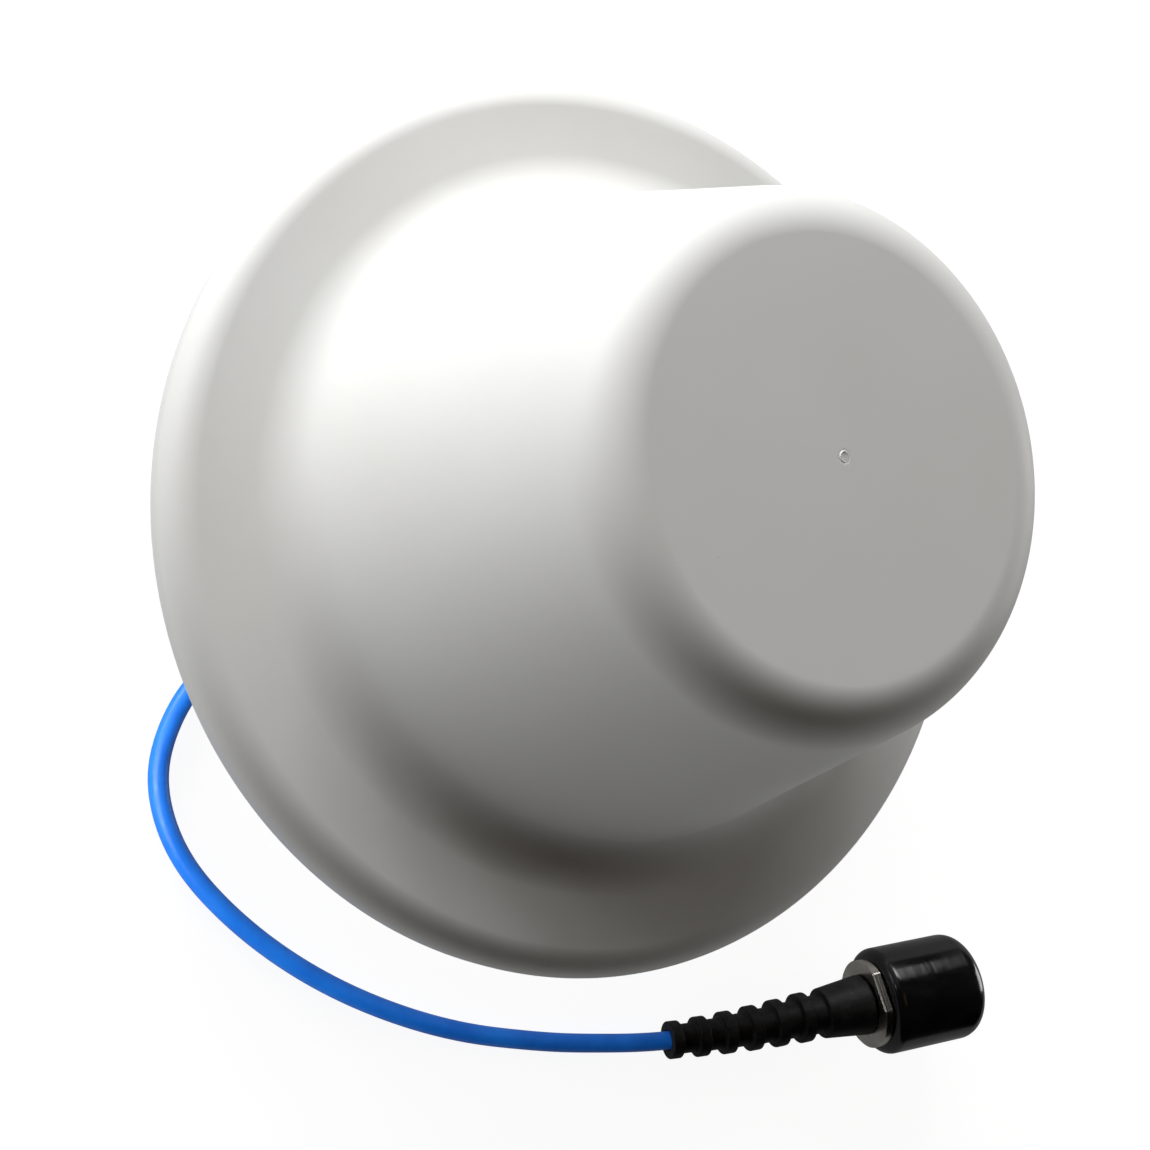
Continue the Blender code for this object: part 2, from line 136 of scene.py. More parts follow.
BOOT_AXIS_Z = BOOT_FIRST_R * math.cos(BOOT_TILT) + 0.05 * MM
BOOT_AXIS = Vector((
    math.cos(BOOT_HEADING) * math.cos(BOOT_TILT),
    math.sin(BOOT_HEADING) * math.cos(BOOT_TILT),
    math.sin(BOOT_TILT),
))
BOOT_SIDE = Vector((-math.sin(BOOT_HEADING), math.cos(BOOT_HEADING), 0.0))
BOOT_ORIGIN = BOOT_START + Vector((0.0, 0.0, BOOT_AXIS_Z))

# Lights: a long curved softbox on the -X side, strongest in its middle and leaning up towards +Y, with
# a weaker fill behind. Azimuths run from -X towards -Y; angles are in degrees and powers in watts.
SOFTBOX_MIDDLE = 12
SOFTBOX_REACH = 75
SOFTBOX_PANELS = 5
SOFTBOX_STEP = 20
SOFTBOX_ELEVATION = 19
SOFTBOX_LEAN = -0.25
SOFTBOX_POWER = 7.0
FILL_PANEL = (-100, 10, 4.5)
FRONT_PANEL = (0, 88, 0.24)
FRONT_PANEL_TINT = (1.0, 0.62, 0.18)
PANEL_SIZE = 0.55
PANEL_DISTANCE = 1.3
PANEL_AIM_Z = 0.06
LEAD_PANEL_AT = Vector((0.03, -0.20, 0.10))
LEAD_PANEL_AIM = Vector((0.06, -0.08, 0.0))
LEAD_PANEL_SIZE = 0.12
LEAD_PANEL_POWER = 0.29
FLOOR_SHADE = 0.20
FLOOR_BOUNCE = 0.52
FLOOR_MIRRORED = 0.12
FLOOR_SEEN = 0.93

# The lead's route in millimetres, as in the CAD source: down the stem's axis, out through the slot,
# along the ground and around the flange to the boot.
ROUTE_TO_BOOT = [
    (0.0, 0.0, 33.8), (0.0, 0.0, 28.0), (0.0, 0.0, 22.2), (0.0, -1.5, 14.5),
    (0.0, -5.9, 8.1), (0.0, -12.3, 3.8), (0.0, -20.0, 2.3), (1.0, -35.0, 2.3),
    (3.5, -52.0, 2.3), (8.6, -71.0, 2.3), (15.9, -84.4, 2.3), (22.9, -90.5, 2.3),
    (30.0, -93.9, 2.3), (39.1, -94.8, 2.3), (49.1, -92.7, 2.3), (58.6, -88.0, 2.3),
    (68.1, -81.4, 2.3), (76.0, -74.5, 2.3), (83.2, -66.9, 2.3), (89.8, -58.6, 2.3),
    (95.8, -49.7, 2.3), (101.1, -40.2, 2.3), (105.6, -30.3, 2.3), (109.3, -21.2, 2.35),
    (112.5, -12.0, 2.6), (115.0, -4.0, 3.2),
]
ROUTE_IN_BOOT = [0.0, 10.0, 20.0, 30.0, 48.0]


# ---------------------------------------------------------------- shapes

NEARLY_STRAIGHT = -0.93
LARGEST_SHARE_OF_SIDE = 0.45


def arc(center_r, center_z, radius, start, end, steps=12):
    """Points on an arc in the profile plane, angles in degrees from the outward radius."""
    angles = np.radians(np.linspace(start, end, steps + 1))
    return [(center_r + radius * math.cos(a), center_z + radius * math.sin(a)) for a in angles]


def soften(outline, size, steps=4):
    """The closed outline with each sharp corner off the axis rounded by about this size."""
    made = []
    count = len(outline)
    for number, corner in enumerate(outline):
        here = np.array(corner[:2])
        back = np.array(outline[number - 1][:2]) - here
        on = np.array(outline[(number + 1) % count][:2]) - here
        turn = np.dot(back, on) / (np.linalg.norm(back) * np.linalg.norm(on))
        if corner[0] == 0.0 or turn < NEARLY_STRAIGHT:
            made.append(corner)
            continue
        start = here + back * min(size / np.linalg.norm(back), LARGEST_SHARE_OF_SIDE)
        end = here + on * min(size / np.linalg.norm(on), LARGEST_SHARE_OF_SIDE)
        for t in np.linspace(0.0, 1.0, steps + 1):
            point = (1 - t) ** 2 * start + 2 * t * (1 - t) * here + t ** 2 * end
            made.append((*point, *corner[2:]))
    return made


def flat_reach(half, flats, angle):
    """Distance from the axis to the nearest of some evenly spaced flats, the first facing angle 0."""
    sector = 2 * math.pi / flats
    return half / math.cos((angle + sector / 2) % sector - sector / 2)


def around_axis(mesh, radius, height, segments, half=None, flats=6, phase=0.0):
    """A ring of vertices about local Z, cut back to flats where half says how far off they are."""
    ring = []
    for step in range(segments):
        angle = 2 * math.pi * step / segments
        reach = min(radius, flat_reach(half, flats, angle)) if half else radius
        turn = angle + phase
        ring.append(mesh.verts.new((reach * math.cos(turn), reach * math.sin(turn), height)))
    return ring


def turned(name, outline, segments=128, sharp=35.0, flats=6, phase=0.0):
    """A solid of revolution about local Z from a closed outline of (radius, height) points.

    A point with a third value is cut back to flats at that distance from the axis.
    """
    mesh = bmesh.new()
    rings = []
    for radius, height, *half in outline:
        if radius == 0.0:
            rings.append([mesh.verts.new((0.0, 0.0, height))] * segments)
        else:
            rings.append(around_axis(mesh, radius, height, segments, *(half or [None]), flats, phase))
    for lower, upper in zip(rings, rings[1:] + rings[:1]):
        for step in range(segments):
            after = (step + 1) % segments
            distinct = list(dict.fromkeys([lower[step], lower[after], upper[after], upper[step]]))
            if len(distinct) > 2:
                mesh.faces.new(distinct)
    bmesh.ops.recalc_face_normals(mesh, faces=mesh.faces)
    return placed(name, mesh, sharp)


def placed(name, mesh, sharp=35.0):
    """Puts a finished mesh in the scene, smooth except at edges sharper than this many degrees."""
    data = bpy.data.meshes.new(name)
    mesh.to_mesh(data)
    mesh.free()
    data.shade_smooth()
    data.set_sharp_from_angle(angle=math.radians(sharp))
    obj = bpy.data.objects.new(name, data)
    bpy.context.scene.collection.objects.link(obj)
    return obj


def carve(target, cutter, sharp=35.0):
    """Cuts the cutter out of the target's mesh and removes the cutter."""
    modifier = target.modifiers.new("carve", "BOOLEAN")
    modifier.operation = "DIFFERENCE"
    modifier.solver = "EXACT"
    modifier.object = cutter
    bpy.context.view_layer.update()
    evaluated = target.evaluated_get(bpy.context.evaluated_depsgraph_get())
    target.data = bpy.data.meshes.new_from_object(evaluated)
    target.data.name = target.name
    target.modifiers.clear()
    target.data.set_sharp_from_angle(angle=math.radians(sharp))
    bpy.data.objects.remove(cutter, do_unlink=True)


def box_mesh(mesh, low, high, turn=0.0):
    """Adds a box to a cutter, turned about Z."""
    made = bmesh.ops.create_cube(mesh, size=1.0)
    size = Vector(high) - Vector(low)
    bmesh.ops.scale(mesh, verts=made["verts"], vec=size)
    bmesh.ops.translate(mesh, verts=made["verts"], vec=(Vector(low) + Vector(high)) / 2)
    bmesh.ops.rotate(mesh, verts=made["verts"], cent=(0, 0, 0), matrix=Matrix.Rotation(turn, 3, "Z"))


def holes(name, centers, radius, low, high):
    """A cutter of upright round bars through these places in plan."""
    mesh = bmesh.new()
    for center in centers:
        made = bmesh.ops.create_cone(
            mesh, cap_ends=True, segments=40, radius1=radius, radius2=radius, depth=high - low)
        bmesh.ops.translate(mesh, verts=made["verts"], vec=(center[0], center[1], (low + high) / 2))
    return placed(name, mesh)


def natural_spline(knots, points):
    """Second derivatives of the natural cubic spline through points at these knots."""
    count = len(knots)
    steps = np.diff(knots)
    matrix = np.eye(count)
    right = np.zeros_like(points)
    for i in range(1, count - 1):
        matrix[i, i - 1:i + 2] = steps[i - 1], 2 * (steps[i - 1] + steps[i]), steps[i]
        right[i] = 6 * ((points[i + 1] - points[i]) / steps[i] - (points[i] - points[i - 1]) / steps[i - 1])
    return np.linalg.solve(matrix, right)


def smooth_route(points, spacing):
    """Points about this far apart on the smooth curve through the route's points."""
    points = np.array(points)
    knots = np.concatenate([[0.0], np.cumsum(np.linalg.norm(np.diff(points, axis=0), axis=1))])
    bends = natural_spline(knots, points)
    made = []
    for at in np.linspace(0.0, knots[-1], round(knots[-1] / spacing) + 1):
        i = min(int(np.searchsorted(knots, at, side="right")) - 1, len(knots) - 2)
        step = knots[i + 1] - knots[i]
        before = (knots[i + 1] - at) / step
        after = 1.0 - before
        made.append(before * points[i] + after * points[i + 1] + step ** 2 / 6 * (
            (before ** 3 - before) * bends[i] + (after ** 3 - after) * bends[i + 1]))
    return made


# ---------------------------------------------------------------- materials


class Finish:
    """A material under construction: its node tree, its shader and the object's own coordinates."""

    def __init__(self, name, color, roughness, metallic=0.0):
        self.material = bpy.data.materials.new(name)
        self.material.use_nodes = True
        self.tree = self.material.node_tree
        self.shader = self.tree.nodes["Principled BSDF"]
        self.shader.inputs["Base Color"].default_value = (*color, 1.0)
        self.shader.inputs["Roughness"].default_value = roughness
        self.shader.inputs["Metallic"].default_value = metallic
        self.place = self.node("ShaderNodeTexCoord").outputs["Object"]

    def node(self, kind, **values):
        made = self.tree.nodes.new(kind)
        for key, value in values.items():
            setattr(made, key, value)
        return made

    def link(self, source, target):
        self.tree.links.new(source, target)

    def stretched(self, scale):
        mapping = self.node("ShaderNodeMapping")
        mapping.inputs["Scale"].default_value = scale
        self.link(self.place, mapping.inputs["Vector"])
        return mapping.outputs["Vector"]

    def noise(self, scale, detail=3.0, roughness=0.5, vector=None):
        made = self.node("ShaderNodeTexNoise")
        made.inputs["Scale"].default_value = scale
        made.inputs["Detail"].default_value = detail
        made.inputs["Roughness"].default_value = roughness
        self.link(vector or self.place, made.inputs["Vector"])
        return made.outputs["Fac"]

    def cells(self, scale, vector=None):
        made = self.node("ShaderNodeTexVoronoi")
        made.inputs["Scale"].default_value = scale
        self.link(vector or self.place, made.inputs["Vector"])
        return made.outputs["Distance"]

    def spread(self, value, low, high, to_low, to_high):
        """The value's stretch from low to high mapped to another, clamped."""
        made = self.node("ShaderNodeMapRange")
        for key, number in zip(("From Min", "From Max", "To Min", "To Max"), (low, high, to_low, to_high)):
            made.inputs[key].default_value = number
        self.link(value, made.inputs["Value"])
        return made.outputs["Result"]

    def colors(self, value, first, second):
        """Mixes two plain colours."""
        made = self.node("ShaderNodeMix", data_type="RGBA")
        made.inputs["A"].default_value = (*first, 1.0)
        made.inputs["B"].default_value = (*second, 1.0)
        self.link(value, made.inputs["Factor"])
        return made.outputs["Result"]

    def tints(self, value, low, high, first, second):
        """One plain colour where the value is low, the other where it is high."""
        return self.colors(self.spread(value, low, high, 0.0, 1.0), first, second)

    def blended(self, value, first, second):
        """Mixes two colours that come from nodes."""
        made = self.node("ShaderNodeMix", data_type="RGBA")
        self.link(value, made.inputs["Factor"])
        self.link(first, made.inputs["A"])
        self.link(second, made.inputs["B"])
        return made.outputs["Result"]

    def color(self, source):
        self.link(source, self.shader.inputs["Base Color"])

    def rough(self, source):
        self.link(source, self.shader.inputs["Roughness"])

    def bump(self, *layers):
        """Layers of (height source, strength, depth in metres), each on top of the last."""
        normal = None
        for source, strength, depth in layers:
            made = self.node("ShaderNodeBump")
            made.inputs["Strength"].default_value = strength
            made.inputs["Distance"].default_value = depth
            self.link(source, made.inputs["Height"])
            if normal:
                self.link(normal, made.inputs["Normal"])
            normal = made.outputs["Normal"]
        self.link(normal, self.shader.inputs["Normal"])


def radome_plastic():
    """Matt off-white moulding: fine spark-eroded grain, faint flow clouds, a few specks and pits."""
    look = Finish("radome_plastic", (0.80, 0.80, 0.78), 0.5)
    clouds = look.noise(18.0, 3.0, 0.55)
    tint = look.tints(clouds, 0.3, 0.7, (0.815, 0.812, 0.790), (0.840, 0.842, 0.830))
    specks = look.spread(look.cells(230.0), 0.03, 0.05, 1.0, 0.0)
    rare = look.spread(look.noise(60.0, 1.0), 0.66, 0.70, 0.0, 0.35)
    dirt = look.node("ShaderNodeMath", operation="MULTIPLY")
    look.link(specks, dirt.inputs[0])
    look.link(rare, dirt.inputs[1])
    dark = look.colors(clouds, (0.50, 0.49, 0.46), (0.45, 0.44, 0.42))
    look.color(look.blended(dirt.outputs[0], tint, dark))
    grain = look.noise(2400.0, 2.0, 0.6)
    look.rough(look.spread(look.noise(35.0, 4.0), 0.3, 0.7, 0.44, 0.56))
    look.bump((clouds, 0.10, 0.4 * MM), (grain, 0.16, 0.06 * MM), (dirt.outputs[0], 0.5, -0.08 * MM))
    look.shader.inputs["Specular IOR Level"].default_value = 0.42
    return look.material


def stem_plastic():
    look = Finish("stem_plastic", (0.78, 0.78, 0.76), 0.42)
    clouds = look.noise(45.0, 4.0)
    look.color(look.tints(clouds, 0.3, 0.7, (0.74, 0.74, 0.72), (0.80, 0.80, 0.78)))
    look.rough(look.spread(look.noise(160.0, 3.0), 0.3, 0.7, 0.34, 0.50))
    look.bump((look.noise(1600.0, 2.0), 0.15, 0.05 * MM))
    return look.material


def sheet_aluminium():
    """Mill-finish sheet: rolling lines one way, soft stains and fine scratches."""
    look = Finish("sheet_aluminium", (0.72, 0.73, 0.74), 0.35, 1.0)
    lines = look.noise(1.0, 4.0, 0.7, look.stretched((12.0, 2600.0, 400.0)))
    stains = look.noise(28.0, 4.0)
    look.color(look.tints(stains, 0.3, 0.7, (0.64, 0.65, 0.66), (0.76, 0.77, 0.78)))
    look.rough(look.spread(lines, 0.3, 0.7, 0.26, 0.44))
    look.bump((lines, 0.20, 0.02 * MM))
    return look.material


def zinc_steel():
    look = Finish("zinc_steel", (0.62, 0.62, 0.61), 0.3, 1.0)
    crystals = look.cells(900.0)
    look.color(look.tints(crystals, 0.0, 0.8, (0.56, 0.56, 0.55), (0.68, 0.68, 0.66)))
    look.rough(look.spread(look.noise(300.0, 3.0), 0.3, 0.7, 0.22, 0.40))
    look.bump((look.noise(1100.0, 3.0), 0.18, 0.03 * MM))
    return look.material


def bare_brass():
    look = Finish("bare_brass", (0.78, 0.60, 0.30), 0.3, 1.0)
    tarnish = look.noise(70.0, 5.0, 0.6)
    look.color(look.tints(tarnish, 0.35, 0.65, (0.62, 0.44, 0.19), (0.80, 0.61, 0.31)))
    look.rough(look.spread(tarnish, 0.3, 0.7, 0.38, 0.22))
    look.bump((look.noise(900.0, 3.0), 0.12, 0.03 * MM))
    return look.material


def plated_nickel():
    """White-bronze plating: warm grey, fine turning marks, slight staining."""
    look = Finish("plated_nickel", (0.68, 0.66, 0.61), 0.22, 1.0)
    turning = look.noise(1.0, 3.0, 0.6, look.stretched((60.0, 60.0, 5200.0)))
    stains = look.noise(220.0, 4.0)
    look.color(look.tints(stains, 0.3, 0.7, (0.55, 0.51, 0.44), (0.76, 0.74, 0.69)))
    look.rough(look.spread(turning, 0.3, 0.7, 0.18, 0.34))
    look.bump((turning, 0.15, 0.02 * MM))
    return look.material


def waxy_ptfe():
    look = Finish("waxy_ptfe", (0.90, 0.90, 0.88), 0.45)
    look.color(look.colors(look.noise(90.0, 3.0), (0.84, 0.84, 0.81), (0.90, 0.90, 0.88)))
    look.bump((look.noise(700.0, 3.0), 0.12, 0.04 * MM))
    return look.material


def cable_jacket():
    """Satin blue extruded jacket with a faint orange-peel skin and small scuffs."""
    look = Finish("cable_jacket", (0.012, 0.19, 0.84), 0.38)
    clouds = look.noise(120.0, 4.0, 0.6)
    tint = look.tints(clouds, 0.3, 0.7, (0.008, 0.150, 0.700), (0.014, 0.210, 0.860))
    scuffs = look.spread(look.noise(900.0, 5.0, 0.7), 0.66, 0.78, 0.0, 0.4)
    pale = look.colors(clouds, (0.10, 0.32, 0.85), (0.12, 0.36, 0.88))
    look.color(look.blended(scuffs, tint, pale))
    look.rough(look.spread(look.noise(420.0, 3.0), 0.3, 0.7, 0.30, 0.46))
    look.bump((look.noise(520.0, 3.0, 0.6), 0.25, 0.10 * MM), (look.noise(2600.0, 2.0), 0.12, 0.03 * MM))
    return look.material


def matt_rubber():
    """Moulded black rubber: fine matt grain with dusty high spots."""
    look = Finish("matt_rubber", (0.012, 0.012, 0.013), 0.55)
    dust = look.noise(420.0, 5.0, 0.65)
    look.color(look.tints(dust, 0.45, 0.75, (0.007, 0.007, 0.008), (0.030, 0.031, 0.033)))
    look.rough(look.spread(dust, 0.3, 0.7, 0.46, 0.68))
    look.bump((look.noise(1500.0, 3.0, 0.6), 0.30, 0.07 * MM))
    look.shader.inputs["Specular IOR Level"].default_value = 0.40
    return look.material


def dipped_vinyl():
    """Glossy black dipped vinyl: soft lengthwise draws, slight sag waves and handling smears."""
    look = Finish("dipped_vinyl", (0.006, 0.006, 0.007), 0.25)
    smears = look.noise(1.0, 4.0, 0.6, look.stretched((260.0, 260.0, 90.0)))
    look.color(look.tints(smears, 0.3, 0.8, (0.004, 0.004, 0.005), (0.014, 0.014, 0.015)))
    look.rough(look.spread(smears, 0.3, 0.7, 0.12, 0.27))
    waves = look.noise(1.0, 2.0, 0.5, look.stretched((120.0, 120.0, 420.0)))
    look.bump((waves, 0.35, 0.14 * MM), (look.noise(1300.0, 3.0), 0.10, 0.03 * MM))
    look.shader.inputs["Specular IOR Level"].default_value = 0.42
    look.shader.inputs["Coat Weight"].default_value = 0.28
    look.shader.inputs["Coat Roughness"].default_value = 0.12
    return look.material


# ---------------------------------------------------------------- pieces


def dress(piece, body, slot, finish, *nodes):
    """Gives the piece its material and body, and lets it stand for its CAD nodes. The slot is not used."""
    piece.data.materials.clear()
    piece.data.materials.append(finish)
    if piece.type == "MESH":
        piece.modifiers.new("normals", "WEIGHTED_NORMAL").keep_sharp = True
    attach(piece, body)
    if nodes:
        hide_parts(*nodes)
    return piece


def cone_line_r(height, top_z, inset=0.0):
    """Radius of the radome's conical wall at this height, inset square to the wall."""
    at_r = FRONT_R - FRONT_ROUND + FRONT_ROUND * math.cos(CONE_HALF_ANGLE)
    at_z = top_z - FRONT_ROUND + FRONT_ROUND * math.sin(CONE_HALF_ANGLE)
    return at_r + (at_z - height) * math.tan(CONE_HALF_ANGLE) - inset / math.cos(CONE_HALF_ANGLE)


def gate_mark(top_z):
    """The moulding gate in the middle of the flat front: a low scar with a faint groove around it."""
    edge = 0.10 * MM
    return [
        (GATE_GROOVE_R, top_z), (GATE_SCAR_R + edge, top_z - GATE_GROOVE_DEPTH), (GATE_SCAR_R, top_z),
        (GATE_SCAR_R - edge, top_z + GATE_SCAR_RISE), (GATE_SCAR_R - 3 * edge, top_z + edge / 4),
        (0.0, top_z),
    ]


def slant_gate(radome, top_z):
    """Sinks the scar's rim away from its high side, as where a gate has snapped off."""
    floor = top_z - GATE_GROOVE_DEPTH
    for vertex in radome.data.vertices:
        out = vertex.co.xy
        if out.length < GATE_SCAR_R + 0.01 * MM and vertex.co.z > floor:
            share = 0.5 + 0.5 * out.dot(GATE_HIGH_SIDE) / GATE_SCAR_R
            vertex.co.z = floor + (vertex.co.z - floor) * share


def radome_outline(low, high, rib_z):
    lean = math.degrees(CONE_HALF_ANGLE)
    flange_r = high.x
    face_z = low.z + FLANGE_T
    front = (FRONT_R - FRONT_ROUND, high.z - FRONT_ROUND)
    fillet_z = face_z + FILLET_R
    fillet = (cone_line_r(fillet_z, high.z, -FILLET_R), fillet_z)
    skirt_r = flange_r - SKIRT_WALL
    edge = 0.5 * MM
    outer = arc(flange_r - edge, low.z + edge, edge, 270, 360, 4)
    outer += arc(flange_r - RIM_ROUND, face_z - RIM_ROUND, RIM_ROUND, 0, 90, 20)
    outer += arc(*fillet, FILLET_R, 270, 180 + lean, 20)
    outer += arc(*front, FRONT_ROUND, lean, 90, 24)
    inner = [(0.0, high.z - WALL)]
    inner += arc(*front, FRONT_ROUND - WALL, 90, lean, 10)
    inner += arc(*fillet, FILLET_R + WALL, 180 + lean, 270, 10)
    inner += [(RIB_INNER_R, face_z - WALL), (RIB_INNER_R, rib_z)]
    inner += [(RIB_OUTER_R, rib_z), (RIB_OUTER_R, face_z - WALL)]
    inner += [(skirt_r, rib_z + 0.6 * MM), (skirt_r, low.z)]
    return outer + gate_mark(high.z) + inner


def make_radome():
    low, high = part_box("radome")
    plate_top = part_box("base_plate")[1].z
    radome = turned("radome_shell", radome_outline(low, high, plate_top + 0.3 * MM), 288)
    slant_gate(radome, high.z)
    dress(radome, "antenna", "white_plastic", radome_plastic(), "radome")


def centers_of(prefix, count):
    """Middles in plan of a numbered family of CAD nodes."""
    found = [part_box(f"{prefix}_{number}") for number in range(1, count + 1)]
    return [((low.x + high.x) / 2, (low.y + high.y) / 2) for low, high in found]


def make_base_plate(finish):
    low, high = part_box("base_plate")
    corners = [(FEED_HOLE_R, low.z), (high.x, low.z), (high.x, high.z), (FEED_HOLE_R, high.z)]
    outline = soften(corners, 0.25 * MM)
    plate = turned("ground_plate", outline, 192)
    centers = centers_of("base_screw", 6) + centers_of("stem_screw", 4)
    carve(plate, holes("plate_holes", centers, SCREW_HOLE_R, low.z - MM, high.z + MM))
    dress(plate, "antenna", "aluminium", finish, "base_plate")


def screw_mesh(name, low, high, head_down):
    """A pan-head screw with a cross recess, standing on its head's top at local z = 0."""
    length = high.z - low.z
    head_r = (high.x - low.x) / 2
    outline = [
        (0.0, 0.0), (head_r - 0.9 * MM, 0.0), (head_r - 0.2 * MM, 0.35 * MM),
        (head_r, SCREW_HEAD_T * 0.6), (head_r, SCREW_HEAD_T), (SCREW_SHANK_R, SCREW_HEAD_T),
        (SCREW_SHANK_R, length - 0.8 * MM), (SCREW_SHANK_R * 0.4, length), (0.0, length),
    ]
    screw = turned(name, soften(outline, 0.2 * MM), 64)
    for turn in (0.1, 0.1 + math.pi / 2):
        recess = bmesh.new()
        box_mesh(
            recess, (-RECESS_REACH, -RECESS_HALF_WIDTH, -MM),
            (RECESS_REACH, RECESS_HALF_WIDTH, RECESS_DEPTH), turn)
        carve(screw, placed("recess", recess))
    if not head_down:
        screw.data.transform(Matrix.Rotation(math.pi, 4, "X"))
    return screw


def make_screws(prefix, count, head_down, finish):
    for number in range(1, count + 1):
        node = f"{prefix}_{number}"
        low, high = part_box(node)
        screw = screw_mesh(f"{node}_cross_head", low, high, head_down)
        turn = Matrix.Rotation(0.7 * number, 4, "Z")
        seat = low.z if head_down else high.z
        screw.data.transform(turn)
        screw.location = ((low.x + high.x) / 2, (low.y + high.y) / 2, seat)
        dress(screw, "antenna", "steel", finish, node)


def thread_wave(phase):
    """Height of a trapezoid thread over one turn's rise, from 0 at the root to 1 at the crest."""
    rise = abs((phase % 1.0) * 2.0 - 1.0)
    return min(max((rise - THREAD_FLAT_SHARE) / (1.0 - 2 * THREAD_FLAT_SHARE), 0.0), 1.0)


def threaded_wall(mesh, root_r, crest_r, low, high, fade, segments, phase=0.0):
    """Rings of a right-handed thread from low to high, the thread fading out near both ends."""
    count = max(round((high - low) / (THREAD_PITCH / 10)), 2)
    rings = []
    for level in range(count + 1):
        height = low + (high - low) * level / count
        depth = min(max(min(height - low, high - height) / fade, 0.0), 1.0)
        ring = []
        for step in range(segments):
            angle = 2 * math.pi * step / segments + phase
            wave = thread_wave(height / THREAD_PITCH - angle / (2 * math.pi))
            radius = root_r + (crest_r - root_r) * wave * depth
            ring.append(mesh.verts.new((radius * math.cos(angle), radius * math.sin(angle), height)))
        rings.append(ring)
    return rings


def skinned(name, mesh, rings, sharp=40.0):
    """Joins rings of equal count into one closed surface, the last back to the first."""
    segments = len(rings[0])
    for lower, upper in zip(rings, rings[1:] + rings[:1]):
        for step in range(segments):
            after = (step + 1) % segments
            mesh.faces.new((lower[step], lower[after], upper[after], upper[step]))
    bmesh.ops.recalc_face_normals(mesh, faces=mesh.faces)
    return placed(name, mesh, sharp)


def make_stem(finish):
    low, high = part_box("mounting_stem")
    segments = 128
    collar_r = high.x
    collar_z = high.z - STEM_COLLAR_T
    root_r = STEM_R - THREAD_DEPTH
    edge = 0.35 * MM
    mesh = bmesh.new()
    rings = [around_axis(mesh, STEM_BORE_R, low.z + edge, segments)]
    rings.append(around_axis(mesh, STEM_BORE_R + edge, low.z, segments))
    rings.append(around_axis(mesh, root_r - edge, low.z, segments))
    rings += threaded_wall(mesh, root_r, STEM_R, low.z + edge, collar_z - 1.2 * MM, 1.5 * MM, segments)
    profile = [
        (root_r, collar_z - 0.5 * MM), (root_r + 0.4 * MM, collar_z), (collar_r - edge, collar_z),
        (collar_r, collar_z + edge), (collar_r, high.z - edge), (collar_r - edge, high.z),
        (STEM_BORE_R + edge, high.z), (STEM_BORE_R, high.z - edge),
    ]
    rings += [around_axis(mesh, radius, height, segments) for radius, height in profile]
    stem = skinned("threaded_stem", mesh, rings)
    cutter = bmesh.new()
    box_mesh(cutter, (-SLOT_HALF_WIDTH, -STEM_R - MM, -MM), (SLOT_HALF_WIDTH, -STEM_BORE_R / 2, SLOT_TOP))
    carve(stem, placed("slot", cutter), 40.0)
    dress(stem, "antenna", "stem_plastic", finish, "mounting_stem")


def make_nut(finish):
    low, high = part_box("mounting_nut")
    half = (high.y - low.y) / 2
    segments = 144
    crest_r = NUT_BORE_R - THREAD_DEPTH * 0.35
    corner_r = half / math.cos(math.pi / 6) - 0.5 * MM
    cut_r = half + 0.35 * MM
    rise = 1.1 * MM
    mesh = bmesh.new()
    lead_in = 0.6 * MM
    rings = threaded_wall(
        mesh, NUT_BORE_R, crest_r, low.z + lead_in, high.z - lead_in, 1.0 * MM, segments, NUT_PHASE)
    profile = [
        (NUT_BORE_R + lead_in, high.z, None), (cut_r - 1.2 * MM, high.z, half + MM),
        (cut_r, high.z - 0.15 * MM, half), (corner_r, high.z - rise, half),
        (corner_r, low.z + rise, half), (cut_r, low.z + 0.15 * MM, half),
        (cut_r - 1.2 * MM, low.z, half + MM), (NUT_BORE_R + lead_in, low.z, None),
    ]
    for radius, height, flat in profile:
        rings.append(around_axis(mesh, radius, height, segments, flat, phase=NUT_PHASE))
    nut = skinned("hex_nut", mesh, rings, 30.0)
    dress(nut, "nut", "stem_plastic", finish, "mounting_nut")


def make_washer(finish):
    low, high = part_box("mounting_washer")
    corners = [(NUT_BORE_R, low.z), (high.x, low.z), (high.x, high.z), (NUT_BORE_R, high.z)]
    washer = turned("flat_washer", soften(corners, 0.3 * MM), 160)
    dress(washer, "washer", "steel", finish, "mounting_washer")


def boot_offset(along):
    """Sideways offset of the boot's axis at this distance from its small end, and its slope."""
    share = max(1.0 - along / BOOT_BEND_LENGTH, 0.0)
    return BOOT_BEND * share ** 2, -2.0 * BOOT_BEND / BOOT_BEND_LENGTH * share


def lead_route():
    route = [Vector(point) * MM for point in ROUTE_TO_BOOT]
    for along in ROUTE_IN_BOOT:
        offset = boot_offset(along * MM)[0]
        route.append(BOOT_ORIGIN + BOOT_AXIS * (along * MM) + BOOT_SIDE * offset)
    return smooth_route(route, LEAD_SPACING)


def make_lead():
    points = lead_route()
    curve = bpy.data.curves.new("blue_lead", "CURVE")
    curve.dimensions = "3D"
    curve.bevel_depth = LEAD_R
    curve.bevel_resolution = 8
    curve.use_fill_caps = True
    spline = curve.splines.new("POLY")
    spline.points.add(len(points) - 1)
    for target, point in zip(spline.points, points):
        target.co = (*point, 1.0)
    spline.use_smooth = True
    lead = bpy.data.objects.new("blue_lead", curve)
    bpy.context.scene.collection.objects.link(lead)
    return dress(lead, "antenna", "blue_jacket", cable_jacket(), "coax_lead")


